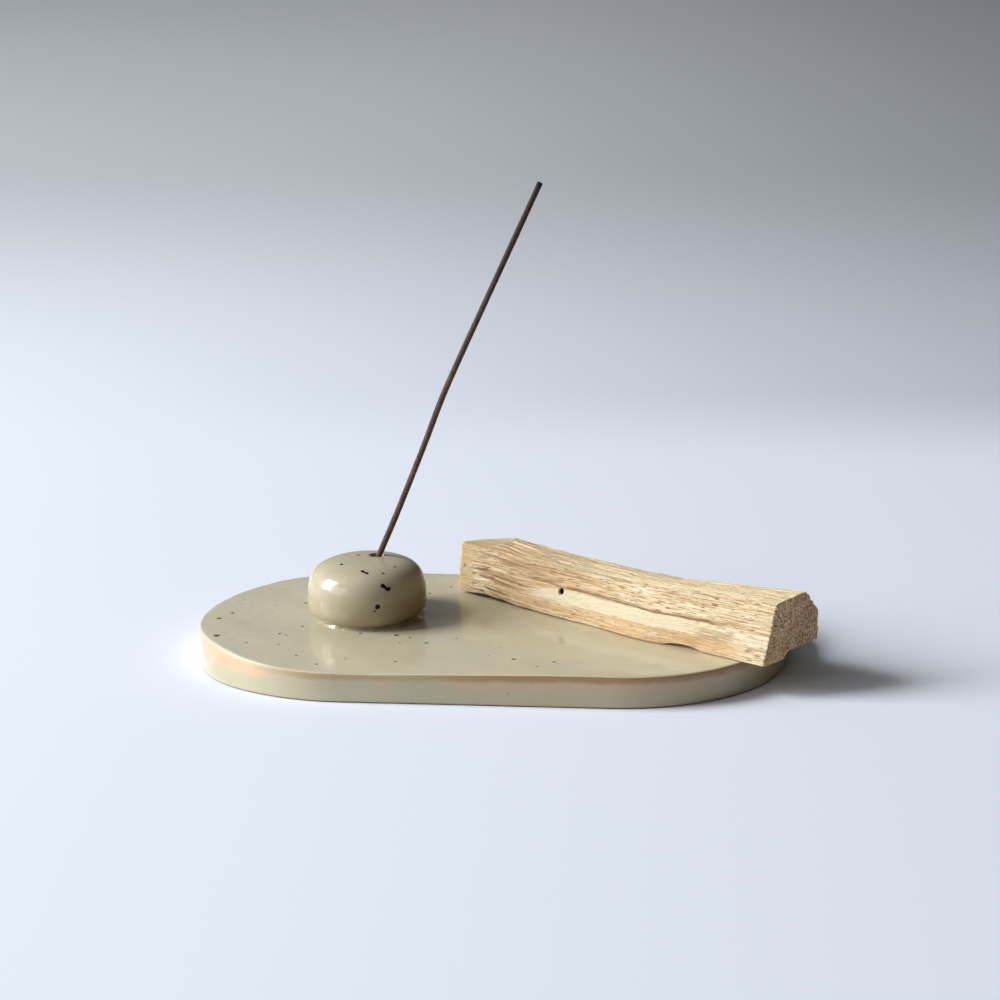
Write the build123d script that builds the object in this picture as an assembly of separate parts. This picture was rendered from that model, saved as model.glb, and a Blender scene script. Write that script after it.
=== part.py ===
from build123d import *
import math
import os

# Incense stick holder: a glazed stoneware tray with a pebble-shaped stick holder bonded to it, the
# incense stick that leans in the pebble's hole, and a split stick of fragrant wood that lies on the tray.
# Millimetres, +Z up. The origin is the centre of the tray's underside, +X runs along the tray.

# Tray: a slab with round ends
tray_length = 181.2
tray_width = 100.0
tray_thickness = 9.7
tray_rim_round = 1.0
tray_base_round = 0.8

# Pebble: a turned form that stands on the tray, with its seam turned away from the hole
pebble_x = -39.4
pebble_y = 5.0
pebble_diameter = 36.9
pebble_belly_height = 5.7
pebble_crown_rise = 12.5
pebble_foot_diameter = 24.0
seam_turn_degrees = 180.0
crown_fullness_share = 0.79
flank_fullness_share = 0.69

# Stick hole: slanted, blind, placed by its mouth
hole_diameter = 4.4
hole_depth = 12.6
hole_offset_x = 2.8
hole_offset_y = 4.1
hole_rim_round = 0.4
hole_overrun = 6.0

# Bead of glaze round the pebble's foot, with its rim inside the belly's outline
bead_inset = 1.2
bead_height = 1.6
bead_draw_in = 1.2
bead_hollow_share = 0.2

# Incense stick: straight in the hole, with one slight bend higher up
stick_diameter = 1.85
stick_length = 140.0
stick_lean_degrees = 22.6
stick_bend_degrees = 2.8
stick_bend_place = 78.6
stick_bend_radius = 400.0
stick_clearance = 0.12

# Wood stick: placed by the left end of its lower front edge
wood_length = 119.8
wood_width = 27.3
wood_height = 17.9
wood_x = -13.7
wood_y = 30.5
wood_heading_degrees = -34.5

# Its sections from left to right: the place of each along the length, then its corners in depth from the
# front edge and in height above the tray, first up the front, then down the back, then the underside
wood_left_place_share = 0.0
wood_left_shares = [
    (-0.04, 0.03), (-0.02, 0.42), (0.04, 0.85),
    (0.48, 0.79), (0.77, 0.53), (0.79, 0.22),
    (0.59, 0.07), (0.27, 0.06),
]
wood_hump_place_share = 0.1
wood_hump_shares = [
    (-0.03, 0.05), (0.01, 0.43), (0.07, 0.86),
    (0.51, 0.89), (0.79, 0.55), (0.82, 0.23),
    (0.62, 0.03), (0.29, 0.04),
]
wood_seat_place_share = 0.21
wood_seat_shares = [
    (-0.05, 0), (0.01, 0.43), (0.08, 0.86),
    (0.53, 0.85), (0.8, 0.55), (0.83, 0.23),
    (0.63, 0), (0.29, 0),
]
wood_middle_place_share = 0.49
wood_middle_shares = [
    (-0.07, 0), (0.04, 0.44), (0.12, 0.87),
    (0.61, 0.82), (0.84, 0.55), (0.88, 0.23),
    (0.66, 0), (0.31, 0),
]
wood_saddle_place_share = 0.64
wood_saddle_shares = [
    (-0.11, 0), (0.05, 0.44), (0.15, 0.9),
    (0.65, 0.81), (0.88, 0.57), (0.92, 0.23),
    (0.69, 0.02), (0.32, 0),
]
wood_rise_place_share = 0.8
wood_rise_shares = [
    (-0.02, 0), (0.07, 0.44), (0.18, 0.94),
    (0.7, 0.9), (0.93, 0.6), (0.96, 0.23),
    (0.71, 0.05), (0.33, 0),
]
wood_right_place_share = 1.0
wood_right_shares = [
    (-0.02, 0), (0.1, 0.44), (0.22, 0.98),
    (0.75, 1), (0.97, 0.61), (1, 0.23),
    (0.73, 0.1), (0.34, 0),
]

# A chipped hollow under the front edge, and a worm hole in the front face
chip_place = 90.0
chip_length = 15.0
chip_height = 1.1
chip_reach = 5.0
worm_hole_place = 41.4
worm_hole_height = 7.7
worm_hole_diameter = 1.9
worm_hole_depth = 3.0

# Levels and directions that several pieces share
crown_level = tray_thickness + pebble_belly_height + pebble_crown_rise
hole_mouth = Vector(pebble_x + hole_offset_x, pebble_y + hole_offset_y, crown_level)
stick_play = hole_diameter - stick_diameter - 2 * stick_clearance
stick_play_degrees = math.degrees(math.atan(stick_play / hole_depth))
hole_lean_degrees = stick_lean_degrees - stick_play_degrees


def leaning(degrees):
    """The direction that leans from straight up towards +X by an angle."""
    return Vector(0, 0, 1).rotate(Axis.Y, degrees)


def tray():
    slab = extrude(SlotOverall(tray_length, tray_width), tray_thickness)
    top_edges = slab.faces().sort_by(Axis.Z)[-1].edges()
    slab = fillet(top_edges, tray_rim_round)
    base_edges = slab.faces().sort_by(Axis.Z)[0].edges()
    return fillet(base_edges, tray_base_round)


def pebble_form():
    """The pebble without its hole."""
    belly = pebble_diameter / 2
    foot = pebble_foot_diameter / 2
    shoulder = crown_fullness_share * belly
    flank = foot + flank_fullness_share * (belly - foot)
    crown_line = Bezier(
        (0, pebble_crown_rise),
        (shoulder, pebble_crown_rise),
        (belly, crown_fullness_share * pebble_crown_rise),
        (belly, 0),
    )
    flank_line = Bezier(
        (belly, 0),
        (belly, -flank_fullness_share * pebble_belly_height),
        (flank, -pebble_belly_height),
        (foot, -pebble_belly_height),
    )
    foot_line = Polyline((foot, -pebble_belly_height), (0, -pebble_belly_height), (0, pebble_crown_rise))
    outline = make_face(Plane.XZ * (crown_line + flank_line + foot_line))
    turned = revolve(outline, Axis.Z)
    belly_centre = Pos(pebble_x, pebble_y, tray_thickness + pebble_belly_height)
    return belly_centre * Rot(0, 0, seam_turn_degrees) * turned


def pebble_holder():
    """The pebble with the slanted hole that the incense stick leans in."""
    hole_axis = leaning(hole_lean_degrees)
    hole_floor = hole_mouth - hole_axis * hole_depth
    hole = extrude(Plane(hole_floor, z_dir=hole_axis) * Circle(hole_diameter / 2), hole_depth + hole_overrun)
    pebble = pebble_form() - hole
    rims = pebble.edges().filter_by(lambda edge: edge.is_closed)
    return fillet(rims.sort_by_distance(hole_mouth)[0], hole_rim_round)


def glaze_fillet():
    """The hollow-sided bead that fills the wedge between the tray and the pebble's lower wall."""
    rim = pebble_diameter / 2 - bead_inset
    top = rim - bead_draw_in
    inner = pebble_foot_diameter / 2
    sag = (top + bead_hollow_share * bead_draw_in, bead_hollow_share * bead_height)
    hollow = Bezier((rim, 0), sag, (top, bead_height))
    back = Polyline((top, bead_height), (inner, bead_height), (inner, 0), (rim, 0))
    section = make_face(Plane.XZ * (hollow + back))
    ring = Pos(pebble_x, pebble_y, tray_thickness) * revolve(section, Axis.Z)
    return ring - pebble_form()


def incense_stick():
    """The stick bears on the hole's rim on one side and on its wall, near the floor, on the other."""
    stick_axis = leaning(stick_lean_degrees)
    upper_axis = leaning(stick_lean_degrees + stick_bend_degrees)
    play = math.radians(stick_play_degrees)
    middle_of_hole = hole_mouth - leaning(hole_lean_degrees) * (hole_depth / 2)
    end_lift = stick_diameter / 2 * math.sin(play) + stick_clearance
    below_middle = (hole_depth / 2 - end_lift) / math.cos(play)
    lower_end = middle_of_hole - stick_axis * below_middle
    bend = lower_end + stick_axis * stick_bend_place
    tip = bend + upper_axis * (stick_length - stick_bend_place)
    route = FilletPolyline(lower_end, bend, tip, radius=stick_bend_radius)
    return sweep(Plane(lower_end, z_dir=stick_axis) * Circle(stick_diameter / 2), path=route)


def wood_section(place_share, corner_shares):
    """One section of the wood in its own frame: +X along the wood, +Y in depth, +Z above the tray."""
    corners = [
        (place_share * wood_length, depth_share * wood_width, height_share * wood_height)
        for depth_share, height_share in corner_shares
    ]
    return make_face(Polyline(*corners, close=True))


def chip():
    """A shallow round hollow across the lower front edge."""
    radius = (chip_length ** 2 / 4 + chip_height ** 2) / (2 * chip_height)
    across = Plane((chip_place, chip_reach, chip_height - radius), z_dir=(0, -1, 0))
    return extrude(across * Circle(radius), wood_width)


def worm_hole():
    front = Plane((worm_hole_place, -wood_width, worm_hole_height), z_dir=(0, 1, 0))
    return extrude(front * Circle(worm_hole_diameter / 2), wood_width + worm_hole_depth)


def wood_stick():
    """A split stick of fragrant wood, resting on the tray with its right end over the rim."""
    sections = [
        wood_section(wood_left_place_share, wood_left_shares),
        wood_section(wood_hump_place_share, wood_hump_shares),
        wood_section(wood_seat_place_share, wood_seat_shares),
        wood_section(wood_middle_place_share, wood_middle_shares),
        wood_section(wood_saddle_place_share, wood_saddle_shares),
        wood_section(wood_rise_place_share, wood_rise_shares),
        wood_section(wood_right_place_share, wood_right_shares),
    ]
    split_wood = loft(sections, ruled=True)
    shaped = split_wood - chip() - worm_hole()
    return Pos(wood_x, wood_y, tray_thickness) * Rot(0, 0, wood_heading_degrees) * shaped


pieces = {
    "tray": tray,
    "pebble_holder": pebble_holder,
    "glaze_fillet": glaze_fillet,
    "incense_stick": incense_stick,
    "wood_stick": wood_stick,
}

os.makedirs("parts", exist_ok=True)
for name, make_piece in pieces.items():
    export_step(make_piece(), f"parts/{name}.step")

pull = leaning(stick_lean_degrees)
print("stick axis", round(pull.X, 5), round(pull.Y, 5), round(pull.Z, 5))
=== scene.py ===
from math import atan, atan2, cos, degrees, exp, hypot, pi, radians, sin, tan

import bmesh
import bpy
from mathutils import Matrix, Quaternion, Vector
from mathutils.bvhtree import BVHTree
from mathutils.noise import noise


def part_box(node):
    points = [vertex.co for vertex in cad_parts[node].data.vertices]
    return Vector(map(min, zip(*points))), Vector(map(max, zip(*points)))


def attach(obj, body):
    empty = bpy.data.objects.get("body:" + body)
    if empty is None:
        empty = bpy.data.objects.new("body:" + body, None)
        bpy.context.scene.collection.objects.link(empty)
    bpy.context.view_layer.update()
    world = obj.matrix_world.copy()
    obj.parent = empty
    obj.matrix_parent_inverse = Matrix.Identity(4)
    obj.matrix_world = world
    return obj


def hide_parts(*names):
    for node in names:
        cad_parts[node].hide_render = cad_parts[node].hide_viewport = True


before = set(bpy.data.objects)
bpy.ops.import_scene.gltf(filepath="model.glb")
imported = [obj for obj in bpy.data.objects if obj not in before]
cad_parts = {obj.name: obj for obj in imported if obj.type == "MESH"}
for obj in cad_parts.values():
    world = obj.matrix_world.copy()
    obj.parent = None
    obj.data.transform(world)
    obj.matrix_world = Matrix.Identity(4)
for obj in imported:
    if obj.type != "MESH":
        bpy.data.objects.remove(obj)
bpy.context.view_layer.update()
scene = bpy.context.scene

# Everything is in metres, in the frame of the solids: +X along the tray, +Z up, and the origin at the
# centre of the tray's underside. Sizes follow the solids. Angles are in degrees, and azimuths start at -Y,
# the camera's side, and go towards +X.

# Camera, solved from the tray's outline in the photograph
picture_size = 1000
camera_lens_mm = 108.0
camera_sensor_mm = 36.0
focal_pixels = picture_size * camera_lens_mm / camera_sensor_mm
camera_azimuth = 7.61
camera_elevation = 15.53
camera_roll = -1.15
camera_distance = 1.0918
camera_target = Vector((-0.0198, 0.1732, 0.0))

# Tray
tray_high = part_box("tray")[1]
tray_top = tray_high.z
tray_half_width = tray_high.y
tray_half_straight = tray_high.x - tray_high.y
tray_rim_round = 0.0007
tray_base_round = 0.0008
tray_spacing = 0.0018
tray_wave_depth = 0.0003
tray_wave_size = 0.012
tray_wobble = 0.0002
tray_wobble_size = 0.03
weld_distance = 0.000005

# The tray's edge is uneven. Each change has an angle round its end, from the end's middle towards the
# camera, a spread in degrees, and how far out it takes the edge at the base and at the top
left_edge_changes = [
    (40.0, 20.0, 0.0015, -0.002),
    (4.0, 15.0, -0.0016, 0.0002),
    (-58.0, 26.0, 0.0012, 0.0012),
]
right_edge_changes = [(42.0, 24.0, 0.0009, 0.0)]

# The rim's level falls and rises along the front: a place and a change of level
rim_changes = [(-0.034, -0.0006), (0.032, 0.0005)]
rim_change_length = 0.022

# Pebble
pebble_x = -0.0394
pebble_y = 0.005
belly_radius = 0.01845
belly_height = 0.0057
crown_rise = 0.0125
foot_radius = 0.012
crown_fullness_share = 0.83
flank_fullness_share = 0.69
crown_curve = [
    (0, crown_rise),
    (crown_fullness_share * belly_radius, crown_rise),
    (belly_radius, crown_fullness_share * crown_rise),
    (belly_radius, 0),
]
flank_curve = [
    (belly_radius, 0),
    (belly_radius, -flank_fullness_share * belly_height),
    (foot_radius + flank_fullness_share * (belly_radius - foot_radius), -belly_height),
    (foot_radius, -belly_height),
]
pebble_lump = 0.00012
pebble_lump_size = 0.011
pebble_sides = 160
crown_steps = 200
crown_rings = 48
flank_rings = 24

# Stick hole
hole_radius = 0.0022
hole_depth = 0.0126
hole_offset = Vector((0.0028, 0.0041))
hole_rim_round = 0.0004

# Bead of glaze round the pebble's foot, with two drops on its rim
bead_reach = 0.0166
bead_left_reach = 0.0008
bead_right_reach = 0.0011
bead_climb = 0.0008
bead_unevenness = 0.00018
bead_drop_angles = [-47.0, 11.0]
bead_drop_spread = 5.0
bead_drop_size = 0.0003
bead_sink = 0.0001
bead_hollow_share = 0.15
bead_swell_share = 0.35
bead_sides = 240

# Incense stick
stick_radius = 0.000925
stick_length = 0.14
stick_lean = 22.6
stick_bend = 2.8
stick_bend_place = 0.0786
stick_bend_radius = 0.4
stick_clearance = 0.00012
stick_roughness = 0.00004
stick_sides = 28
stick_taper_share = 0.05
stick_end_shares = [0.0, 0.55, 0.85]
stick_drift_share = 0.025
stick_drift_length = 0.011
stick_grain_size = 0.0006
stick_dark_length = 0.07
stick_char_heights = (-0.0035, -0.0005)

# The stick sways a little from its line: a place along it, a length and how far, and the same all along
stick_sways = [(0.012, 0.01, -0.00032), (0.066, 0.011, -0.00035)]
stick_shift = -0.00018
stick_sway_start = 0.01
stick_step = 0.0005
stick_play = 2 * (hole_radius - stick_radius - stick_clearance)
hole_lean = stick_lean - degrees(atan(stick_play / hole_depth))

# Wood stick. Its sections lie at shares of its length, and their corners are shares of its width and height:
# first up the front and over the top, then down the back and along the underside
wood_length = 0.1198
wood_width = 0.0273
wood_height = 0.0179
wood_corner = Vector((-0.0137, 0.0305, tray_top))
wood_heading = -34.5
wood_place_shares = [0.0, 0.1, 0.21, 0.49, 0.64, 0.8, 1.0]
wood_front_shares = [
    [(-0.03, 0.045), (-0.02, 0.42), (0.03, 0.91), (0.48, 0.8)],
    [(-0.05, 0.075), (0.01, 0.43), (0.07, 0.88), (0.51, 0.92)],
    [(-0.06, 0.02), (0.01, 0.43), (0.08, 0.86), (0.53, 0.85)],
    [(-0.07, 0), (0.04, 0.44), (0.12, 0.87), (0.61, 0.82)],
    [(-0.11, 0), (0.05, 0.44), (0.15, 0.9), (0.65, 0.81)],
    [(-0.02, 0), (0.07, 0.44), (0.18, 0.94), (0.7, 0.9)],
    [(-0.02, 0), (0.1, 0.44), (0.22, 0.98), (0.75, 1.0)],
]
wood_back_shares = [
    [(0.77, 0.53), (0.79, 0.22), (0.59, 0), (0.27, 0)],
    [(0.79, 0.55), (0.82, 0.23), (0.62, 0), (0.29, 0)],
    [(0.8, 0.55), (0.83, 0.23), (0.63, 0), (0.29, 0)],
    [(0.84, 0.55), (0.88, 0.23), (0.66, 0), (0.31, 0)],
    [(0.88, 0.57), (0.92, 0.23), (0.69, 0.02), (0.32, 0)],
    [(0.93, 0.6), (0.96, 0.23), (0.71, 0.05), (0.33, 0)],
    [(0.97, 0.61), (0.96, 0.12), (0.43, 0.1), (0.34, 0)],
]
wood_section_shares = [front + back for front, back in zip(wood_front_shares, wood_back_shares)]
wood_corner_eases = [0.0003, 0.003, 0.0046, 0.0006, 0.0014, 0.0012, 0.001, 0.001]
wood_end_ease_share = 0.3
wood_left_end_reach = 0.016
wood_right_end_reach = 0.02
wood_around_step = 0.0003
wood_along_step = 0.0006
wood_hole_step = 0.00022
wood_lift = 0.00002
wood_cap_rings = 26
wood_cap_fade_rings = 3
worm_hole_place = 0.0414
worm_hole_height = 0.0077
worm_hole_radius = 0.001
worm_hole_depth = 0.0026
chip_place = 0.09
chip_half_length = 0.0075
chip_height = 0.0011
chip_reach = 0.005
gap_height = 0.00015
left_gap_height = 0.0004
left_gap_place = 0.013
left_gap_half_length = 0.008
gap_reach = 0.006
gap_full_share = 0.7
worm_hole_floor_share = 0.85

# Roughness of the wood's sawn ends: a size and a depth for each layer, and their ragged edges
end_roughness = [(0.003, 0.00025), (0.0006, 0.00014)]
end_raggedness = 0.0004
end_rag_size = 0.0011

# Fibres of the split wood: length along it, width across it, depth and noise seed of each layer
broad_fibre = (0.05, 0.0036, 0.00018, 3.1)
ridge_fibre = (0.024, 0.0011, 0.00017, 7.7)
hair_fibre = (0.009, 0.00045, 0.00006, 11.9)
flake_fibre = (0.016, 0.0016, 0.0002, 19.3)
fuzz_fibre = (0.004, 0.0007, 0.00012, 27.1)
fibre_slant_share = 0.02
groove_depth = 0.00055
groove_start_share = 0.2
flake_start_shares = (0.26, 0.34)
rough_left_places = (0.03, 0.06)
smooth_end_places = (0.003, 0.008)

# The pale smooth band along the wood's front: its edges, as rises round the section, and where it runs
band_low = 0.0048
band_edge = 0.0004
band_top_at_left = 0.0062
band_top_growth = 0.003
band_growth_places = (0.02, 0.045)
band_start_places = (0.024, 0.036)
band_end_places = (0.086, 0.1)
ledge_height = 0.00045
ledge_wave = 0.0003
ledge_wave_length = 0.007
ledge_rises = (-0.0001, 0.0002)
ledge_fall_rises = (0.0008, 0.0045)
ledge_start_places = (0.04, 0.046)
ledge_end_places = (0.095, 0.108)
top_start = 0.0165
top_end = 0.03

# Where the wood's colours, painted shade and painted light start and end: places along it, and rises round
# its section
inner_places = ((0.004, 0.01), (0.038, 0.06))
tan_places = ((0.012, 0.02), (0.036, 0.056))
brown_rises = ((0.0045, 0.0075), (0.0145, 0.0165))
crest_shade_rises = (0.013, 0.016)
crest_shade_places = (0.012, 0.022)
left_end_places = (0.003, 0.007)
knot_spot = (0.0019, 0.0084, 0.0)
knot_radii = (0.0003, 0.0006)
crown_growth = 0.0024
crown_growth_places = (0.06, 0.12)
crown_rises = (-0.0005, 0.0015)
crown_places = (0.02, 0.06)
band_waviness = 0.0014
band_fade = 0.0006
pink_places = ((0.044, 0.058), (0.106, 0.116))
ledge_shadow_raggedness = 0.0016
ledge_shadow_rises = ((-0.0002, 0.0001), (0.0004, 0.0011))
grey_places = ((0.092, 0.097), (0.104, 0.11))
grey_rises = ((0.0036, 0.0046), (0.0066, 0.0076))
fleck_rises = (0.0125, 0.015)
gap_shadow_rises = (0.0002, 0.0006)
gap_shadow_start_places = (0.005, 0.009)
gap_shadow_end_places = (0.022, 0.03)
groove_shade_reliefs = (-0.0004, -0.0001)
pit_shade_depths = (0.0003, 0.001)
lit_pale_corner_reach = (0.0065, 0.0085)
lit_pale_corner_slope = 2.0

# Where the glaze changes, and where painted shade and a painted reflection lie: places along and across the
# tray, drops below its top, heights above it, and places from the pebble's middle
warm_places = (-0.05, 0.04)
painted_reflection_depths = (-0.034, -0.01)
painted_reflection_places = (-0.08, -0.055)
side_drops = (0.0002, 0.0005)
bare_end_places = (-0.072, -0.045)
cream_places = (-0.07, 0.005)
blush_drops = (0.003, 0.0075)
peach_places = ((-0.088, -0.08), (-0.066, -0.056))
peach_drops = ((0.0006, 0.0014), (0.0034, 0.0056))
iron_drops = (0.0015, 0.003)
iron_warm_places = (-0.02, 0.01)
edge_raggedness = 0.0024
dull_rim_drops = ((0.00001, 0.00015), (0.0008, 0.0016))
bare_clay_and_shade_levels = (0.0002, 0.0006)
pebble_heights = (0.0005, 0.001)
pebble_low_heights = (0.007, 0.015)
pebble_shade_places = (0.004, 0.015)
pebble_right_places = (0.008, 0.016)

# Heights of the fine bumps in the materials
glaze_bumps = 0.0004
bead_bumps = 0.0003
incense_bumps = 0.0001
fibre_bumps = 0.0003
end_bumps = 0.0005

# Iron specks seen in the glaze, each as a pixel of the photograph and a radius in pixels
pebble_speck_pixels = [
    (341.4, 564.4, 2.0), (362.3, 571.2, 2.1), (364.6, 572.3, 1.5), (366.8, 573.3, 1.9), (382.8, 586.0, 2.5),
    (385.4, 587.6, 1.8), (388.2, 588.9, 2.5), (377.6, 606.9, 2.7), (374.7, 611.3, 1.0),
]
faint_speck_pixels = [(395.1, 566.8, 1.6), (383.3, 573.4, 1.6), (358.4, 555.0, 2.2)]
tray_speck_pixels = [
    (219.2, 617.9, 2.6), (232.5, 612.4, 2.2), (216.7, 635.4, 3.4), (246.2, 641.9, 1.6), (279.5, 633.3, 1.9),
    (286.0, 634.7, 1.4), (278.1, 643.6, 1.6), (296.2, 654.4, 1.6), (316.7, 662.7, 2.2), (302.4, 625.8, 1.6),
    (305.8, 602.4, 1.8), (360.5, 632.7, 1.9), (374.8, 631.0, 1.3), (396.7, 634.7, 2.8), (410.0, 637.1, 1.5),
    (427.0, 642.3, 2.0), (399.6, 642.6, 1.3), (351.4, 654.1, 1.3), (345.7, 657.6, 1.8), (395.3, 660.2, 2.0),
    (456.6, 638.0, 1.5), (451.3, 586.4, 1.6), (429.8, 592.9, 1.6), (488.2, 654.5, 1.2), (513.5, 658.9, 2.1),
    (554.0, 662.2, 1.9), (537.2, 667.0, 1.3),
]

# Floor: where painted shade turns it greyer or dimmer, as distances to the back, to the right and towards the
# window
floor_half = 6.0
floor_grey_shade_places = (0.24, 0.95)
floor_right_places = (-0.3, 0.45)
floor_back_places = (0.22, 0.36)
floor_camera_places = (-0.9, -0.35)
floor_window_places = (-0.95, -0.17)
floor_from_window = (0.955, 0.297, 0.0)

# Light: a window on the left and a dimmer pane nearer the camera, with power in watts per square metre
window_distance = 3.0
windows = {
    "window": {"azimuth": -84, "elevation": 29.5, "width": 1.25, "height": 1.9, "turn": 12, "strength": 58},
    "front_pane": {"azimuth": -54, "elevation": 22, "width": 2.0, "height": 1.4, "turn": 0, "strength": 6.6},
}
window_colour = (0.96, 1.0, 1.05)


def aim(name, data, target, azimuth, elevation, distance, roll):
    """Puts a camera or a lamp at a distance from its target, facing it."""
    turn = radians(azimuth)
    rise = radians(elevation)
    back = Vector((sin(turn) * cos(rise), -cos(turn) * cos(rise), sin(rise)))
    made = bpy.data.objects.new(name, data)
    made.location = target + back * distance
    made.rotation_mode = "QUATERNION"
    made.rotation_quaternion = back.to_track_quat("Z", "Y") @ Quaternion((0, 0, 1), radians(roll))
    scene.collection.objects.link(made)
    return made


def make_camera():
    data = bpy.data.cameras.new("camera")
    data.lens = camera_lens_mm
    data.sensor_width = camera_sensor_mm
    made = aim("camera", data, camera_target, camera_azimuth, camera_elevation, camera_distance, camera_roll)
    scene.camera = made
    return made


camera = make_camera()


def pixel_direction(pixel):
    """The direction in which the camera sees a pixel."""
    half = picture_size / 2
    local = Vector((pixel[0] - half, half - pixel[1], -focal_pixels))
    return (camera.rotation_quaternion.to_matrix() @ local).normalized()


def colour(red, green, blue):
    """A colour given as it looks on screen, from 0 to 255, in the linear values that shaders use."""
    def linear(value):
        share = value / 255
        return share / 12.92 if share <= 0.04045 else ((share + 0.055) / 1.055) ** 2.4
    return (linear(red), linear(green), linear(blue), 1.0)


def smooth(low, high, value):
    """Rises smoothly from 0 at low to 1 at high."""
    share = min(1.0, max(0.0, (value - low) / (high - low)))
    return share * share * (3 - 2 * share)


def bezier(points, share):
    """A point on the curve that four points steer."""
    a, b, c, d = (Vector(point) for point in points)
    rest = 1 - share
    return a * rest ** 3 + b * 3 * rest ** 2 * share + c * 3 * rest * share ** 2 + d * share ** 3


def shares(steps, first=1):
    """Even shares of a whole, up to all of it."""
    return [step / steps for step in range(first, steps + 1)]


def quarter_turn(steps):
    """The sine and cosine at each step of a quarter turn, after its start."""
    return [(sin(pi / 2 * share), cos(pi / 2 * share)) for share in shares(steps)]


def mesh_object(name, points, faces, material):
    mesh = bpy.data.meshes.new(name)
    mesh.from_pydata(points, [], faces, shade_flat=False)
    mesh.materials.append(material)
    mesh.update()
    made = bpy.data.objects.new(name, mesh)
    scene.collection.objects.link(made)
    return made


def ring_faces(rings, sides, closed_along=False):
    """Four-sided faces between rings of points that are numbered ring by ring."""
    faces = []
    for ring in range(rings if closed_along else rings - 1):
        lower = ring * sides
        upper = (ring + 1) % rings * sides
        for side in range(sides):
            following = (side + 1) % sides
            faces.append((lower + side, lower + following, upper + following, upper + side))
    return faces


class Paint:
    """The nodes of a material or a world, with the colour built up so far in body.

    An input that is given a socket is linked, and any other input is set. A mask is a socket, a share, or
    a tuple of what ramp takes.
    """

    def __init__(self, owner):
        owner.use_nodes = True
        self.owner = owner
        self.tree = owner.node_tree
        self.tree.nodes.clear()

    def node(self, kind, inputs, **settings):
        made = self.tree.nodes.new("ShaderNode" + kind)
        for name, value in settings.items():
            setattr(made, name, value)
        for key, value in inputs.items():
            if isinstance(value, bpy.types.NodeSocket):
                self.tree.links.new(value, made.inputs[key])
            else:
                made.inputs[key].default_value = value
        return made

    def math(self, operation, first, second, third=0.0):
        return self.node("Math", {0: first, 1: second, 2: third}, operation=operation).outputs[0]

    def product(self, *masks):
        values = [self.ramp(*mask) if isinstance(mask, tuple) else mask for mask in masks]
        result = values[0]
        for value in values[1:]:
            result = self.math("MULTIPLY", result, value)
        return result

    def vector(self, operation, first, second, output="Value"):
        return self.node("VectorMath", {0: first, 1: second}, operation=operation).outputs[output]

    def ramp(self, value, low, high, start=0.0, end=1.0):
        """Goes smoothly from start to end as a value goes from low to high."""
        inputs = {"Value": value, "From Min": low, "From Max": high, "To Min": start, "To Max": end}
        return self.node("MapRange", inputs, interpolation_type="SMOOTHSTEP").outputs["Result"]

    def span(self, value, rising, falling, most=1.0):
        """Rises over one pair of values, and falls from most to 0 over another."""
        return self.product((value, *rising), (value, *falling, most, 0.0))

    def attribute(self, name):
        return self.node("Attribute", {}, attribute_name=name).outputs["Fac"]

    def mix(self, share, first, second, blend="MIX"):
        inputs = {0: self.product(share), 6: first, 7: second}
        return self.node("Mix", inputs, data_type="RGBA", blend_type=blend).outputs[2]

    def noise(self, scale, detail=2.0, roughness=0.5, vector=None):
        vector = vector or self.place()
        inputs = {"Vector": vector, "Scale": scale, "Detail": detail, "Roughness": roughness}
        return self.node("TexNoise", inputs).outputs[0]

    def place(self):
        """Where a point is on the piece, in the frame of the solids."""
        return self.node("TexCoord", {}).outputs["Object"]

    def position(self):
        """A point's place as its X, Y and Z."""
        return self.node("SeparateXYZ", {0: self.place()}).outputs

    def ground(self, share, first, second):
        """Starts the colour as a mix of two."""
        self.body = self.mix(share, colour(*first), colour(*second))

    def coat(self, tint, *masks):
        """Lays a colour over the body as far as its masks go."""
        self.body = self.mix(self.product(*masks), self.body, colour(*tint))

    def shade(self, factors, *masks):
        """Multiplies the body's colour as far as the masks go."""
        self.body = self.mix(self.product(*masks), self.body, (*factors, 1.0), "MULTIPLY")

    def bump(self, height, distance, strength):
        return self.node("Bump", {"Height": height, "Distance": distance, "Strength": strength}).outputs[0]

    def finish(self, **inputs):
        named = {name.replace("_", " "): value for name, value in inputs.items()}
        shader = self.node("BsdfPrincipled", {"Base Color": self.body, **named})
        self.node("OutputMaterial", {"Surface": shader.outputs[0]})
        return self.owner


def new_paint(name):
    return Paint(bpy.data.materials.new(name))


def speck_mask(paint, specks):
    """1 on the specks, which are given as points with radii, and 0 elsewhere."""
    warp = paint.noise(1400.0, 1.0)
    mask = None
    for point, radius in specks:
        wavy = paint.math("MULTIPLY_ADD", warp, radius, paint.vector("DISTANCE", paint.place(), point))
        inside = paint.ramp(wavy, radius * 1.3, radius * 1.7, 1.0, 0.0)
        mask = inside if mask is None else paint.math("MAXIMUM", mask, inside)
    return mask


def fine_specks(paint, scale, fullest):
    """Small specks at random, one at most in each cell."""
    cell = paint.node("TexVoronoi", {"Vector": paint.place(), "Scale": scale})
    chance = paint.node("SeparateColor", {0: cell.outputs["Color"]}).outputs[0]
    size = paint.math("MULTIPLY", paint.math("SUBTRACT", chance, 0.55), fullest)
    return paint.math("LESS_THAN", cell.outputs["Distance"], size)


def glaze_ground(paint, tint):
    """The glaze, in a tint that varies a little from place to place."""
    red, green, blue = tint
    drift = paint.noise(28.0)
    mottle = paint.noise(420.0, 3.0)
    paint.ground((drift, 0.35, 0.65), tint, (red + 11, green + 10, blue + 9))
    paint.coat((red - 10, green - 12, blue - 12), (mottle, 0.35, 0.75, 0.0, 0.35))


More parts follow.
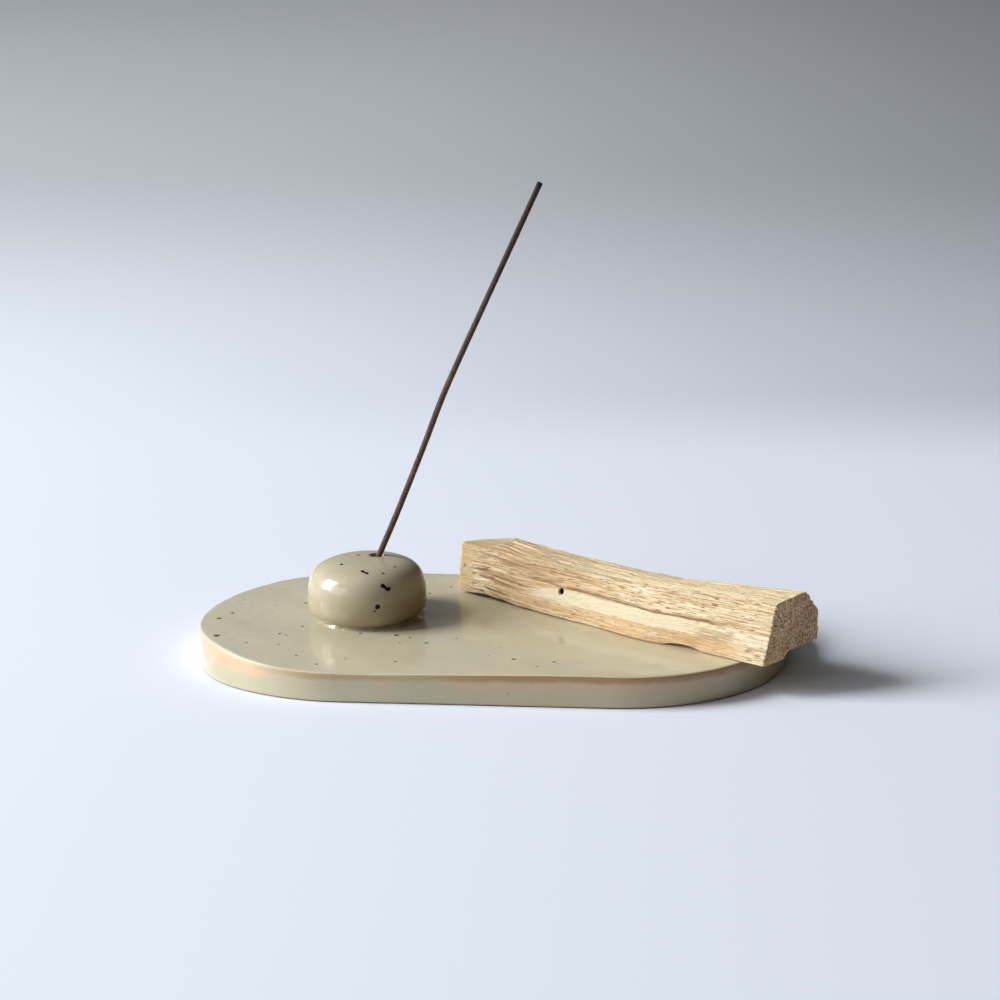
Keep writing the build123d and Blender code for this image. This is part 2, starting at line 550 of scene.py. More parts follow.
def glazed_stoneware(name, tint, roughness, specks, faint_specks):
    """Glossy glaze with iron specks, thin and warm under the tray's edge, with unglazed clay underneath.
    The tray's sides are darker than its top as painted shade, and a paler patch near the front is a painted
    reflection.
    The dark band at the base is partly painted contact shadow, and the pebble's low and right side has
    painted shade.
    """
    paint = new_paint(name)
    red, green, blue = tint
    along, across, level = paint.position()
    drop = paint.attribute("drop")
    cloud = paint.noise(45.0)
    ragged = paint.noise(160.0, 3.0)
    glaze_ground(paint, tint)
    paint.coat((red, green - 4, blue - 14), (along, *warm_places, 0.0, 0.75))
    # Painted reflection: a paler band on the tray's top near its front, from near the left end onwards
    paint.coat((red + 20, green + 16, blue + 10), (across, *painted_reflection_depths, 0.6, 0.0), (along, *painted_reflection_places))

    uneven = paint.math("MULTIPLY_ADD", paint.math("SUBTRACT", ragged, 0.5), edge_raggedness, drop)
    below_rim = paint.ramp(drop, *side_drops)
    # Painted shade: the tray's sides are multiplied darker than its top
    paint.shade((0.69, 0.7, 0.67), below_rim)
    paint.coat((226, 214, 184), (along, *cream_places, 0.26, 0.0), below_rim)
    paint.coat((206, 168, 132), (uneven, *blush_drops, 0.45, 0.0), (cloud, 0.36, 0.56), below_rim)
    paint.coat((226, 178, 140), paint.span(along, *peach_places), paint.span(uneven, *peach_drops, 0.6))
    iron = paint.product((uneven, *iron_drops, 0.85, 0.0), below_rim, (along, *bare_end_places))
    warmer = paint.mix((along, *iron_warm_places), colour(176, 152, 104), colour(160, 116, 68))
    paint.body = paint.mix(iron, paint.body, warmer)

    marks = speck_mask(paint, specks + faint_specks)
    paint.coat((108, 96, 74), fine_specks(paint, 170.0, 0.16), 0.4)
    paint.coat((62, 48, 34), speck_mask(paint, faint_specks), 0.9)
    if specks:
        paint.coat((36, 24, 10), speck_mask(paint, specks))

    above_tray = paint.math("SUBTRACT", level, tray_top)
    from_pebble = paint.math("SUBTRACT", along, pebble_x)
    on_pebble = paint.ramp(above_tray, *pebble_heights)
    low = paint.product(on_pebble, (above_tray, *pebble_low_heights, 1.0, 0.0))
    right_side = paint.product(on_pebble, (from_pebble, *pebble_right_places))
    dry = paint.product(paint.math("MAXIMUM", low, right_side), 0.85)
    # Painted shade: the pebble is darkened low down, most on its right side
    paint.shade((0.58, 0.52, 0.44), low, (from_pebble, *pebble_shade_places, 0.35, 1.0))
    # A dark band at the base: partly the unglazed clay foot, partly painted contact shadow
    bare_clay_and_shade = paint.ramp(level, *bare_clay_and_shade_levels, 1.0, 0.0)
    paint.coat((112, 92, 70), bare_clay_and_shade)
    dull = paint.math("MAXIMUM", bare_clay_and_shade, paint.span(drop, *dull_rim_drops))
    gloss = paint.ramp(ragged, 0.3, 0.7, 0.8 * roughness, 1.2 * roughness)
    return paint.finish(
        Roughness=paint.math("MULTIPLY_ADD", dull, 0.35, gloss),
        IOR=1.58,
        Specular_IOR_Level=paint.ramp(paint.math("MAXIMUM", marks, dry), 0.0, 1.0, 0.5, 0.08),
        Normal=paint.bump(paint.noise(90.0), glaze_bumps, 0.3),
    )


def pooled_glaze():
    paint = new_paint("pooled_glaze")
    ripple = paint.noise(500.0)
    paint.ground((ripple, 0.3, 0.7), (158, 146, 114), (176, 164, 132))
    gloss = paint.ramp(ripple, 0.3, 0.7, 0.06, 0.12)
    return paint.finish(Roughness=gloss, Normal=paint.bump(ripple, bead_bumps, 0.3))


def tray_wave(point):
    """How deep the glaze's surface dips at a point of the tray's top."""
    rolling = noise(Vector((point.x, point.y, 0.3)) / tray_wave_size)
    small = noise(Vector((point.x, point.y, 0.8)) / (tray_wave_size * 0.4))
    return -tray_wave_depth * min(1.0, max(0.0, 0.5 + 0.45 * rolling + 0.2 * small))


def tray_spokes():
    """Anchors on the tray's middle line, with the directions in which its outline lies from them."""
    straight = round(2 * tray_half_straight / tray_spacing)
    bend = round(pi * tray_half_width / tray_spacing)
    spokes = []
    for end in (1, -1):
        for step in range(straight):
            x = end * tray_half_straight * (2 * step / straight - 1)
            spokes.append((Vector((x, 0, 0)), Vector((0, -end, 0))))
        for step in range(bend):
            angle = pi * (step / bend - 0.5)
            direction = Vector((end * cos(angle), end * sin(angle), 0))
            spokes.append((Vector((end * tray_half_straight, 0, 0)), direction))
    return spokes


def tray_profile():
    """Rings from the middle of the top, over the rim and the side, to that of the underside."""
    flat = tray_half_width - tray_rim_round
    rings = [(flat * share, tray_top) for share in shares(34, first=0)]
    for sine, cosine in quarter_turn(6):
        rings.append((flat + tray_rim_round * sine, tray_top - tray_rim_round * (1 - cosine)))
    side_top = tray_top - tray_rim_round
    rings += [(tray_half_width, side_top - (side_top - tray_base_round) * share) for share in shares(8)]
    flat = tray_half_width - tray_base_round
    for sine, cosine in quarter_turn(4):
        rings.append((flat + tray_base_round * cosine, tray_base_round * (1 - sine)))
    return rings + [(flat * (1 - share), 0.0) for share in shares(6)]


def hump(value, middle, spread):
    """1 at the middle, and less away from it."""
    return exp(-((value - middle) / spread) ** 2)


def tray_edge_shift(direction, level):
    """How far the edge stands out at a level."""
    angle = degrees(atan2(-direction.y, abs(direction.x)))
    changes = left_edge_changes if direction.x < 0 else right_edge_changes
    share = level / tray_top
    return sum(
        hump(angle, middle, spread) * (base_out * (1 - share) + top_out * share)
        for middle, spread, base_out, top_out in changes
    )


def tray_edge_lift(point, direction):
    """How far the rim's level differs from the tray's along the front."""
    if direction.y > -0.5:
        return 0.0
    return sum(change * hump(point.x, place, rim_change_length) for place, change in rim_changes)


def make_tray(material):
    spokes = tray_spokes()
    profile = tray_profile()
    points = []
    drops = []
    for reach, level in profile:
        edge = reach / tray_half_width
        for anchor, direction in spokes:
            point = anchor + direction * reach
            wobble = noise(Vector((point.x, point.y, 2.0)) / tray_wobble_size) * tray_wobble * edge ** 4
            point += direction * (wobble + tray_edge_shift(direction, level) * edge ** 6)
            upper = smooth(tray_top - tray_rim_round, tray_top, level)
            lift = tray_edge_lift(point, direction) * edge ** 3 * level / tray_top
            point.z = level + upper * tray_wave(point) + lift
            points.append(point)
            drops.append(tray_top - level)
    made = mesh_object("tray_glazed", points, ring_faces(len(profile), len(spokes)), material)
    mark_points(made, "drop", drops)
    return weld(made)


def mark_points(piece, name, values):
    """Gives each point a value that the materials read."""
    attribute = piece.data.attributes.new(name, "FLOAT", "POINT")
    attribute.data.foreach_set("value", values)


def weld(piece):
    """Joins points that lie together, and drops the faces that this leaves without area."""
    mesh = bmesh.new()
    mesh.from_mesh(piece.data)
    bmesh.ops.remove_doubles(mesh, verts=mesh.verts, dist=weld_distance)
    bmesh.ops.dissolve_degenerate(mesh, edges=mesh.edges, dist=weld_distance / 10)
    bmesh.ops.recalc_face_normals(mesh, faces=mesh.faces)
    mesh.to_mesh(piece.data)
    mesh.free()
    return piece


def crown_level_at(reach, samples):
    """The crown's height at a distance from the pebble's own axis."""
    for near, far in zip(samples, samples[1:]):
        if near[0] <= reach <= far[0]:
            share = (reach - near[0]) / (far[0] - near[0])
            return near[1] + share * (far[1] - near[1])
    return samples[-1][1]


def level_ring(x, y, level, radius):
    """Points round the pebble at one level."""
    turns = [2 * pi * side / pebble_sides for side in range(pebble_sides)]
    return [Vector((x + radius * cos(turn), y + radius * sin(turn), level)) for turn in turns]


def hole_rings(samples):
    """Rings from the middle of the hole's floor, up its slanted wall and over its rim."""
    slope = tan(radians(hole_lean))
    mouth_level = crown_level_at(hypot(hole_offset.x, hole_offset.y), samples)
    wall = hole_depth - hole_rim_round
    rings = [(hole_depth, hole_radius * share) for share in shares(4, first=0)]
    rings += [(hole_depth - wall * share, hole_radius) for share in shares(7)]
    for sine, cosine in quarter_turn(5)[:-1]:
        rings.append((hole_rim_round * (1 - sine), hole_radius + hole_rim_round * (1 - cosine)))
    return [
        level_ring(hole_offset.x - slope * depth, hole_offset.y, mouth_level - depth, radius)
        for depth, radius in rings
    ]


def pebble_rings():
    """Rings in the pebble's own frame: the hole's, and those from its rim over the crown to the foot."""
    samples = [bezier(crown_curve, share) for share in shares(crown_steps, first=0)]
    rings = []
    start = hole_radius + hole_rim_round
    first = next(step for step, sample in enumerate(samples) if sample[0] >= start)
    for step in range(crown_rings):
        share = (first + (crown_steps - first) * step / (crown_rings - 1)) / crown_steps
        reach, level = bezier(crown_curve, share)
        shift = 1 - smooth(start, 0.75 * belly_radius, reach)
        ring = level_ring(hole_offset.x * shift, hole_offset.y * shift, level, reach)
        if shift > 0:
            for point in ring:
                point.z = crown_level_at(hypot(point.x, point.y), samples)
        rings.append(ring)
    for share in shares(flank_rings):
        reach, level = bezier(flank_curve, share)
        rings.append(level_ring(0, 0, level, reach))
    rings.append(level_ring(0, 0, -belly_height, 0))
    return hole_rings(samples), rings


def make_pebble(material):
    inside, outside = pebble_rings()
    for ring in outside:
        for point in ring:
            out = Vector((point.x, point.y, max(point.z, 0.0) * 1.2)).normalized()
            point += out * noise(point / pebble_lump_size) * pebble_lump
    rings = inside + outside
    centre = Vector((pebble_x, pebble_y, tray_top + belly_height))
    points = [centre + point for ring in rings for point in ring]
    for point in points:
        point.z = max(point.z, tray_top - tray_wave_depth)
    return weld(mesh_object("pebble_glazed", points, ring_faces(len(rings), pebble_sides), material))


def bead_outline(angle):
    """How far out the bead reaches and how high it climbs, at an angle round the pebble."""
    out = Vector((cos(angle), sin(angle), 0))
    reach = bead_reach + bead_left_reach * smooth(0.3, 1.0, -out.x)
    reach += bead_right_reach * smooth(0.3, 1.0, out.x)
    reach += bead_unevenness * (noise(out * 2.3) + 0.5 * noise(out * 6.1))
    climb = bead_climb * (1 + 0.25 * noise(out * 3.7 + Vector((5, 0, 0))))
    turned = (degrees(angle) + 180) % 360 - 180
    drops = sum(hump(turned, place, bead_drop_spread) for place in bead_drop_angles)
    return out, reach + bead_drop_size * drops, climb + bead_drop_size * drops


def bow(start, steer, end, share):
    """A value on the curve from start to end that steer draws towards itself."""
    rest = 1 - share
    return rest * rest * start + 2 * rest * share * steer + share * share * end


def make_bead(material, pebble):
    """The uneven bead of glaze between the tray and the pebble's lower wall."""
    surface = BVHTree.FromObject(pebble, bpy.context.evaluated_depsgraph_get())
    axis = Vector((pebble_x, pebble_y, 0))
    low = tray_top - tray_wave_depth
    columns = []
    for side in range(bead_sides):
        out, reach, climb = bead_outline(2 * pi * side / bead_sides)
        start = axis + out * (2 * belly_radius) + Vector((0, 0, tray_top + climb))
        wall = (surface.ray_cast(start, -out)[0] - axis).dot(out) - bead_sink
        middle = (reach + wall) / 2 - bead_hollow_share * climb
        column = []
        for share in shares(8, first=0):
            distance = bow(reach, middle, wall, share)
            level = bow(low, tray_top + bead_swell_share * climb, tray_top + climb, share)
            column.append(axis + out * distance + Vector((0, 0, level)))
        column.append(axis + out * foot_radius + Vector((0, 0, low)))
        columns.append(column)
    rows = len(columns[0])
    points = [column[row] for row in range(rows) for column in columns]
    return weld(mesh_object("glaze_bead", points, ring_faces(rows, bead_sides, closed_along=True), material))


def leaning(lean):
    angle = radians(lean)
    return Vector((sin(angle), 0, cos(angle)))


def stick_lower_end():
    """The stick bears on the hole's rim on one side and on its wall, near the floor, on the other."""
    play = radians(stick_lean - hole_lean)
    mouth = Vector((pebble_x + hole_offset.x, pebble_y + hole_offset.y, tray_top + belly_height + crown_rise))
    middle = mouth - leaning(hole_lean) * (hole_depth / 2)
    lift = stick_radius * sin(play) + stick_clearance
    return middle - leaning(stick_lean) * ((hole_depth / 2 - lift) / cos(play))


def stick_path():
    """Points and directions along the stick from its lower end, with a slight bend."""
    turn = radians(stick_bend)
    tangent = stick_bend_radius * tan(turn / 2)
    arc_start = stick_bend_place - tangent
    arc_end = arc_start + stick_bend_radius * turn
    path = []
    point = stick_lower_end()
    steps = round(stick_length / stick_step)
    for step in range(steps + 1):
        along = stick_length * step / steps
        share = min(1.0, max(0.0, (along - arc_start) / (arc_end - arc_start)))
        direction = leaning(stick_lean + stick_bend * share)
        sways = sum(hump(along, middle, length) * offset for middle, length, offset in stick_sways)
        sway = (stick_shift + sways) * smooth(0.0, stick_sway_start, along)
        path.append((along, point + Vector((sway, 0, 0)), direction))
        point = point + direction * (stick_length / steps)
    return path


def make_stick(material):
    """A pressed stick, slightly uneven in thickness, with softened ends."""
    across = Vector((0, 1, 0))
    points = []
    path = stick_path()
    rings = [(0, share) for share in stick_end_shares] + [(n, 1.0) for n in range(len(path))]
    rings += [(len(path) - 1, share) for share in reversed(stick_end_shares)]
    for number, share in rings:
        along, point, direction = path[number]
        sideways = across.cross(direction)
        taper = stick_taper_share * (1 - 2 * along / stick_length)
        drift = 1 + taper + stick_drift_share * noise(Vector((along / stick_drift_length, 0.5, 0)))
        for side in range(stick_sides):
            angle = 2 * pi * side / stick_sides
            out = sideways * cos(angle) + across * sin(angle)
            rough = noise((point + out * stick_radius) / stick_grain_size)
            radius = share * (stick_radius * drift - stick_roughness * (0.5 + 0.5 * rough))
            points.append(point + out * radius)
    return weld(mesh_object("incense_stick_pressed", points, ring_faces(len(rings), stick_sides), material))


def pressed_incense():
    """Dark brown pressed powder, charred at the tip."""
    paint = new_paint("pressed_incense")
    grain = paint.noise(1500.0, 4.0, 0.65)
    flattened = paint.vector("MULTIPLY", paint.place(), (1.0, 1.0, 0.25), "Vector")
    streak = paint.noise(700.0, vector=flattened)
    paint.ground((grain, 0.3, 0.7), (62, 45, 36), (102, 77, 62))
    paint.coat((122, 92, 74), (streak, 0.5, 0.75, 0.0, 0.5))
    from_tip = paint.math("SUBTRACT", paint.position()[2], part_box("incense_stick")[1].z)
    paint.coat((46, 23, 15), (from_tip, -stick_dark_length, 0.0, 0.0, 0.8))
    paint.coat((26, 20, 18), (from_tip, *stick_char_heights))
    return paint.finish(Roughness=0.85, Normal=paint.bump(grain, incense_bumps, 0.5))


def wood_directions():
    """Along the wood, and in depth away from its front."""
    heading = radians(wood_heading)
    along = Vector((cos(heading), sin(heading), 0))
    depth = Vector((-sin(heading), cos(heading), 0))
    return along, depth


def wood_corners(place):
    """The section's corners, in depth and height, at a distance from the wood's left end."""
    share = min(1.0, max(0.0, place / wood_length))
    number = max(n for n, start in enumerate(wood_place_shares[:-1]) if start <= share)
    start, end = wood_place_shares[number:number + 2]
    blend = (share - start) / (end - start)
    corners = []
    for first, second in zip(wood_section_shares[number], wood_section_shares[number + 1]):
        corner = Vector(first).lerp(Vector(second), blend)
        corners.append(Vector((corner.x * wood_width, corner.y * wood_height)))
    return corners


def wood_edge_counts():
    """How many points each straight edge of a section gets."""
    corners = wood_corners(wood_length / 2)
    lengths = [(b - a).length for a, b in zip(corners, corners[1:] + corners[:1])]
    return [max(4, round(length / wood_around_step)) for length in lengths]


def wood_ease(place):
    """The share of their full easing that the corners have: less at the wood's ends."""
    inside = smooth(0.0, wood_left_end_reach, place)
    inside *= smooth(0.0, wood_right_end_reach, wood_length - place)
    return wood_end_ease_share + (1 - wood_end_ease_share) * inside


def wood_outline(place, counts):
    """A section's outline as points, with its corners eased."""
    corners = wood_corners(place)
    eases = [ease * wood_ease(place) for ease in wood_corner_eases]
    outline = []
    for number, corner in enumerate(corners):
        following = (number + 1) % len(corners)
        after = corners[following]
        start = corner + (corners[number - 1] - corner).normalized() * eases[number]
        end = corner + (after - corner).normalized() * eases[number]
        for share in shares(max(6, round(2 * wood_corner_eases[number] / wood_around_step)), first=0)[:-1]:
            outline.append(start.lerp(corner, share).lerp(corner.lerp(end, share), share))
        finish = after + (corner - after).normalized() * eases[following]
        outline += [end.lerp(finish, share) for share in shares(counts[number], first=0)[:-1]]
    return outline


def wood_rises(outline):
    """How far round the section each point of its outline lies from the lower front edge."""
    rises = [0.0]
    for before, after in zip(outline, outline[1:]):
        rises.append(rises[-1] + (after - before).length)
    return rises


def wood_stations():
    """Places along the wood, closer together at the worm hole."""
    count = round(wood_length / wood_along_step)
    places = {round(wood_length * step / count, 6) for step in range(count + 1)}
    fine = round(2 * worm_hole_radius / wood_hole_step)
    for step in range(-fine, fine + 1):
        places.add(round(worm_hole_place + step * wood_hole_step, 6))
    return sorted(places)


def fibre(layer, place, slant):
    length, width, depth, seed = layer
    return depth * noise(Vector((place / length, slant / width, seed)))


def band_top(place):
    """The rise of the pale band's upper edge."""
    return band_top_at_left + band_top_growth * smooth(*band_growth_places, place)


def in_band(place, rise):
    """1 in the pale smooth band along the front, 0 elsewhere."""
    top = band_top(place)
    inside = smooth(band_low - band_edge, band_low + band_edge, rise)
    inside *= 1 - smooth(top - band_edge, top, rise)
    return inside * smooth(*band_start_places, place) * (1 - 0.7 * smooth(*band_end_places, place))


def fibre_relief(place, rise):
    """How far the split surface stands out at a place along the wood and round its section."""
    slant = rise + fibre_slant_share * place
    rough = (1 - 0.85 * in_band(place, rise)) * (1.6 - 0.8 * smooth(*rough_left_places, place))
    rough *= smooth(*smooth_end_places, place)
    ridge = fibre(ridge_fibre, place, slant)
    groove = max(0.0, -ridge / ridge_fibre[2] - groove_start_share) * groove_depth
    flake_share = fibre(flake_fibre, place, slant) / flake_fibre[2]
    flake = smooth(*flake_start_shares, flake_share) * flake_fibre[2]
    relief = fibre(broad_fibre, place, slant)
    relief += rough * (ridge + fibre(hair_fibre, place, slant) - groove + flake)
    if top_start < rise < top_end:
        relief += fibre(fuzz_fibre, place, slant)
    over = rise - band_top(place) + ledge_wave * sin(place / ledge_wave_length)
    ledge = smooth(*ledge_rises, over) * (1 - smooth(*ledge_fall_rises, over))
    present = smooth(*ledge_start_places, place) * (1 - smooth(*ledge_end_places, place))
    return relief + ledge * ledge_height * present


def carved(place, point, front):
    """Moves a point of the front into the worm hole, and one of the lower front edge up to leave a gap."""
    away = hypot(place - worm_hole_place, point.y - worm_hole_height)
    pit = 0.0
    if point.x < wood_width / 4:
        pit = worm_hole_depth * (1 - smooth(worm_hole_radius * worm_hole_floor_share, worm_hole_radius, away))
    arch = chip_height * max(0.0, 1 - ((place - chip_place) / chip_half_length) ** 2)
    left_gap = left_gap_height * max(0.0, 1 - ((place - left_gap_place) / left_gap_half_length) ** 2)
    lift = arch * (1 - smooth(chip_reach * gap_full_share, chip_reach, point.x))
    gap = (gap_height + left_gap) * (1 - smooth(gap_reach * gap_full_share, gap_reach, point.x - front))
    return Vector((point.x + pit, max(point.y, lift, gap))), pit


def wood_surface():
    """Points of the wood's long faces, with each one's place, rise, relief and depth in the worm hole."""
    along, depth = wood_directions()
    counts = wood_edge_counts()
    stations = wood_stations()
    points = []
    marks = []
    for number, place in enumerate(stations):
        outline = wood_outline(place, counts)
        rises = wood_rises(outline)
        front = wood_corners(place)[0].x
        ragged = number in (0, len(stations) - 1)
        for side, point in enumerate(outline):
            tangent = outline[(side + 1) % len(outline)] - outline[side - 1]
            relief = fibre_relief(place, rises[side])
            out = Vector((-tangent.y, tangent.x)).normalized()
            moved, pit = carved(place, point + out * relief, front)
            moved.y = max(moved.y, wood_lift)
            shift = 0.0
            if ragged:
                shift = end_raggedness * noise(Vector((rises[side] / end_rag_size, 0.0, place)))
            points.append(wood_corner + along * (place + shift) + depth * moved.x + Vector((0, 0, moved.y)))
            marks.append((place, rises[side], relief, pit))
    return points, marks, len(stations), len(outline)


def make_wood(long_grain, end_grain):
    along, depth = wood_directions()
    points, marks, stations, sides = wood_surface()
    faces = ring_faces(stations, sides)
    long_faces = len(faces)
    for station, facing in ((0, -1), (stations - 1, 1)):
        rim = [station * sides + side for side in range(sides)]
        edge = [points[number] for number in rim]
        centre = sum(edge, Vector()) / sides
        for step in range(1, wood_cap_rings + 1):
            ring = []
            fade = min(1.0, step / wood_cap_fade_rings)
            for corner in edge:
                point = corner.lerp(centre, step / wood_cap_rings)
                local = Vector((point.dot(depth), point.z, 0.0))
                rough = sum(layer_depth * noise(local / size) for size, layer_depth in end_roughness)
                ring.append(len(points))
                points.append(point + along * facing * fade * rough)
                marks.append((local.x, local.y, rough, 0.0))
            for side in range(sides):
                following = (side + 1) % sides
                faces.append((rim[side], rim[following], ring[following], ring[side]))
            rim = ring
    made = mesh_object("wood_stick_split", points, faces, long_grain)
    made.data.materials.append(end_grain)
    made.data.polygons.foreach_set("material_index", [int(n >= long_faces) for n in range(len(faces))])
    mapping = made.data.uv_layers.new(name="grain")
    for loop in made.data.loops:
        mapping.data[loop.index].uv = marks[loop.vertex_index][:2]
    for number, name in ((2, "relief"), (3, "pit")):
        mark_points(made, name, [mark[number] for mark in marks])
    return weld(made)


def split_wood():
    """Tan fibres with cream and dark streaks, a pale band under a ledge, and a pink front edge.
    Painted shade darkens the ledge's lower edge, the grooves, the worm hole, the strip over the gap under the
    front and the upper left end, and the top face is painted paler, partly as painted light.
    """
    paint = new_paint("split_wood")
    grain = paint.node("UVMap", {}, uv_map="grain").outputs[0]
    place, rise = paint.node("SeparateXYZ", {0: grain}).outputs[:2]

    def fibres(along_scale, across_scale, detail=2.0, roughness=0.5):
        stretched = paint.vector("MULTIPLY", grain, (along_scale, across_scale, 1.0), "Vector")
        return paint.noise(1.0, detail, roughness, stretched)

    streak = fibres(30.0, 560.0, 5.0, 0.7)
    hair = fibres(90.0, 3000.0, 2.0, 0.6)
    drift = fibres(22.0, 160.0)
    bold = fibres(55.0, 2000.0, 2.0, 0.55)
    dash = fibres(260.0, 2400.0)
    fleck = fibres(700.0, 2000.0)
    paint.ground((streak, 0.38, 0.6), (206, 174, 127), (231, 213, 176))
    paint.coat((160, 122, 78), (hair, 0.38, 0.5, 0.7, 0.0))
    paint.coat((242, 228, 194), (hair, 0.56, 0.66, 0.0, 0.6))
    paint.coat((122, 86, 48), (dash, 0.35, 0.45, 0.85, 0.0))

    paint.coat((190, 152, 104), paint.span(place, *tan_places, 0.45))
    brown = paint.span(rise, *brown_rises)
    paint.coat((140, 96, 54), paint.span(place, *inner_places), brown, (bold, 0.5, 0.55, 0.0, 0.55))
    # Painted shade: the wood is darkened from its eased front-top corner upwards at its left end
    paint.coat((166, 132, 92), (rise, *crest_shade_rises), (place, *crest_shade_places, 0.6, 0.0))
    paint.coat((200, 171, 121), (place, *left_end_places, 0.8, 0.0))
    paint.coat((120, 84, 44), (paint.vector("DISTANCE", grain, knot_spot), *knot_radii, 0.8, 0.0))
    # The top face is paler: partly the wood's own tone, partly painted light on the top
    top_edge = paint.ramp(place, *crown_growth_places, top_start, top_start + crown_growth)
    over_edge = paint.math("SUBTRACT", rise, top_edge)
    paint.coat((255, 231, 184), (over_edge, *crown_rises), (place, *crown_places, 0.25, 0.75))

    wavy = paint.math("MULTIPLY_ADD", paint.math("SUBTRACT", drift, 0.5), band_waviness, rise)
    top = paint.ramp(place, *band_growth_places, band_top_at_left, band_top_at_left + band_top_growth)
    over = paint.math("SUBTRACT", wavy, top)
    band = paint.product(
        (wavy, band_low - band_fade / 2, band_low + band_edge),
        (over, -band_fade, 0.0, 1.0, 0.0),
        (place, *band_start_places),
        (place, *band_end_places, 0.8, 0.3),
    )
    pale = paint.mix(hair, colour(216, 198, 161), colour(231, 219, 188))
    paint.body = paint.mix(band, paint.body, pale)
    pink = paint.product(
        (wavy, band_low - band_fade, band_low + band_edge, 1.0, 0.0),
        (streak, 0.35, 0.62, 1.0, 0.5),
    )
    paint.coat((198, 156, 106), pink, paint.span(place, *pink_places, 0.8))
    # Painted shadow: a dark ragged line along the ledge's lower edge, at the top of the pale band
    ragged = paint.math("MULTIPLY_ADD", paint.math("SUBTRACT", streak, 0.5), ledge_shadow_raggedness, over)
    ledge = paint.span(place, ledge_start_places, ledge_end_places, 0.8)
    paint.coat((124, 90, 54), paint.span(ragged, *ledge_shadow_rises), ledge)
    grey = paint.span(rise, *grey_rises)
    paint.coat((166, 132, 96), paint.span(place, *grey_places), grey, (bold, 0.46, 0.54, 0.1, 0.8))

    paint.coat((146, 102, 58), (fleck, 0.3, 0.38, 0.7, 0.0), (rise, *fleck_rises))
    # Painted shadow: the lowest strip of the front is dark over the gap under the wood, most at its left part
    under = paint.product((rise, *gap_shadow_rises, 1.0, 0.0), (place, *gap_shadow_start_places))
    paint.coat((46, 30, 16), under, (place, *gap_shadow_end_places, 1.0, 0.4))
    # Painted shade in the fibres' grooves
    paint.coat((126, 90, 52), (paint.attribute("relief"), *groove_shade_reliefs, 0.6, 0.0))
    # Painted shade inside the worm hole
    paint.coat((52, 34, 14), (paint.attribute("pit"), *pit_shade_depths))
    bumps = paint.math("ADD", streak, paint.math("ADD", hair, fleck))
    return paint.finish(Roughness=0.8, Normal=paint.bump(bumps, fibre_bumps, 0.8))


def end_grain():
    """The brown porous end of the wood, with a paler lower corner that is partly painted light."""
    paint = new_paint("end_grain")
    cells = paint.node("TexVoronoi", {"Vector": paint.place(), "Scale": 1000.0})
    cloud = paint.noise(260.0, 3.0)
    speck = paint.noise(1500.0, 2.0, 0.6)
    paint.ground((cloud, 0.3, 0.7), (206, 162, 118), (242, 202, 156))
    paint.coat((244, 216, 182), (speck, 0.54, 0.6, 0.0, 0.8))
    paint.coat((104, 70, 44), (speck, 0.4, 0.47, 0.65, 0.0))
    paint.coat((84, 60, 42), (cells.outputs["Distance"], 0.1, 0.3, 0.6, 0.0))
    # A paler lower front corner: partly long grain where the end broke away, partly painted light on a facet
    # the shape lacks
    depth = wood_directions()[1]
    across = paint.vector("DOT_PRODUCT", paint.place(), depth)
    broken = paint.math("MULTIPLY_ADD", paint.position()[2], lit_pale_corner_slope, across)
    from_corner = paint.math("SUBTRACT", broken, wood_corner.dot(depth) + lit_pale_corner_slope * tray_top)
    paint.coat((230, 190, 122), (from_corner, *lit_pale_corner_reach, 0.8, 0.0))
    return paint.finish(Roughness=0.9, Normal=paint.bump(speck, end_bumps, 0.9))


def make_floor():
    """A wide pale floor with painted shade: greyer to the back and the right, dim beside the camera and the
    window.
    """
    paint = new_paint("floor")
    right, away = paint.position()[:2]
    from_window = paint.vector("DOT_PRODUCT", paint.place(), floor_from_window)
    # Painted shade: the floor greys to the back, darkens to the back right, and is dimmed beside the camera
    # and the window
    paint.ground((away, *floor_grey_shade_places), (239, 243, 251), (198, 201, 204))
    back = (away, *floor_back_places)
    paint.shade((0.605, 0.612, 0.62), (right, *floor_right_places), back)
    paint.coat((110, 112, 116), (away, *floor_camera_places, 0.8, 0.0))
    paint.coat((70, 72, 76), (from_window, *floor_window_places, 0.85, 0.0))
    paint.finish(Roughness=0.9, Specular_IOR_Level=0.1)
    signs = [(-1, -1), (1, -1), (1, 1), (-1, 1)]
    corners = [Vector((x * floor_half, y * floor_half, 0)) for x, y in signs]
    floor = mesh_object("floor", corners, [(0, 1, 2, 3)], paint.owner)


def make_window(name, azimuth, elevation, width, height, turn, strength):
    data = bpy.data.lights.new(name, "AREA")
    data.shape = "RECTANGLE"
    data.size = width
    data.size_y = height
    data.energy = strength * width * height
    data.color = window_colour
    aim(name, data, Vector(), azimuth, elevation, window_distance, turn)


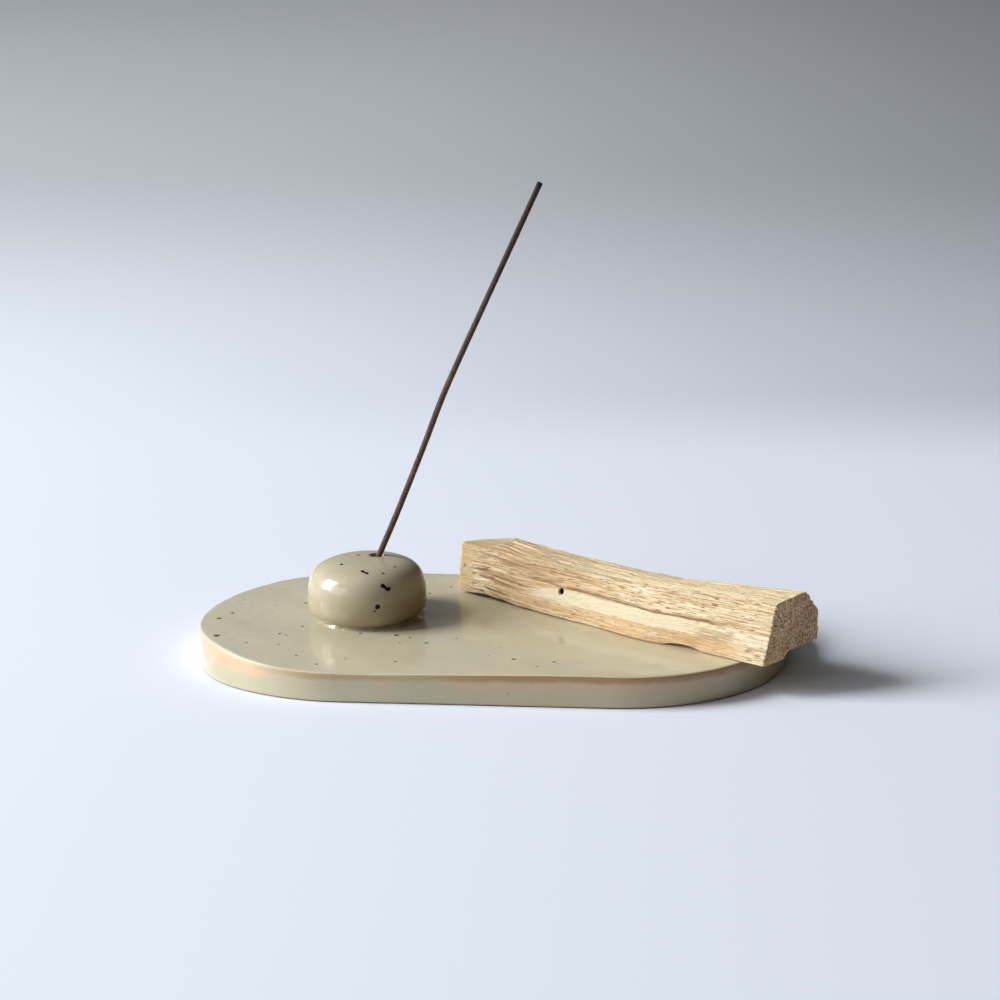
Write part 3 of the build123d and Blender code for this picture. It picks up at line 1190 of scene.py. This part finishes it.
def make_room():
    """Dim light from the windows' side, and a paler wall behind that the glaze reflects."""
    paint = Paint(bpy.data.worlds.new("room"))
    direction = paint.node("TexCoord", {}).outputs["Generated"]
    left = paint.ramp(paint.vector("DOT_PRODUCT", direction, (-0.92, -0.3, 0.25)), -0.1, 1.0, 0.0, 0.26)
    back = paint.ramp(paint.vector("DOT_PRODUCT", direction, (-0.15, 0.93, 0.33)), 0.88, 0.98, 0.0, 0.26)
    level = paint.math("ADD", paint.math("ADD", left, back), 0.025)
    light = paint.mix(level, (0.0, 0.0, 0.0, 1.0), (1.0, 0.98, 0.95, 1.0))
    shader = paint.node("Background", {"Color": light})
    paint.node("OutputWorld", {"Surface": shader.outputs[0]})
    scene.world = paint.owner


def ray_to_tray(pixel):
    direction = pixel_direction(pixel)
    return camera.location + direction * ((tray_top - camera.location.z) / direction.z)


def placed_specks(specks, cast):
    """Specks as points on a piece with radii, from their pixels."""
    placed = []
    for x, y, radius in specks:
        point = cast((x, y))
        placed.append((point, radius * (point - camera.location).length / focal_pixels))
    return placed


def dress():
    pebble = make_pebble(bpy.data.materials.new("blank"))
    surface = BVHTree.FromObject(pebble, bpy.context.evaluated_depsgraph_get())

    def ray_to_pebble(pixel):
        return surface.ray_cast(camera.location, pixel_direction(pixel))[0]

    dark = placed_specks(pebble_speck_pixels, ray_to_pebble)
    faint = placed_specks(faint_speck_pixels, ray_to_pebble)
    pebble.data.materials[0] = glazed_stoneware("pebble_glaze", (191, 180, 151), 0.14, dark, faint)
    on_tray = placed_specks(tray_speck_pixels, ray_to_tray)
    tray = make_tray(glazed_stoneware("tray_glaze", (198, 190, 163), 0.13, [], on_tray))
    bead = make_bead(pooled_glaze(), pebble)
    stick = make_stick(pressed_incense())
    wood = make_wood(split_wood(), end_grain())
    dressed = [
        (tray, "holder", "tray", "glazed_stoneware"),
        (pebble, "holder", "pebble_holder", "glazed_stoneware"),
        (bead, "holder", "glaze_fillet", "pooled_glaze"),
        (stick, "incense_stick", "incense_stick", "pressed_incense"),
        (wood, "wood_stick", "wood_stick", "split_wood"),
    ]
    for piece, body, node, slot in dressed:
        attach(piece, body)
        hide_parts(node)


dress()
make_floor()
for name, window in windows.items():
    make_window(name, **window)
make_room()
scene.view_settings.view_transform = "Standard"
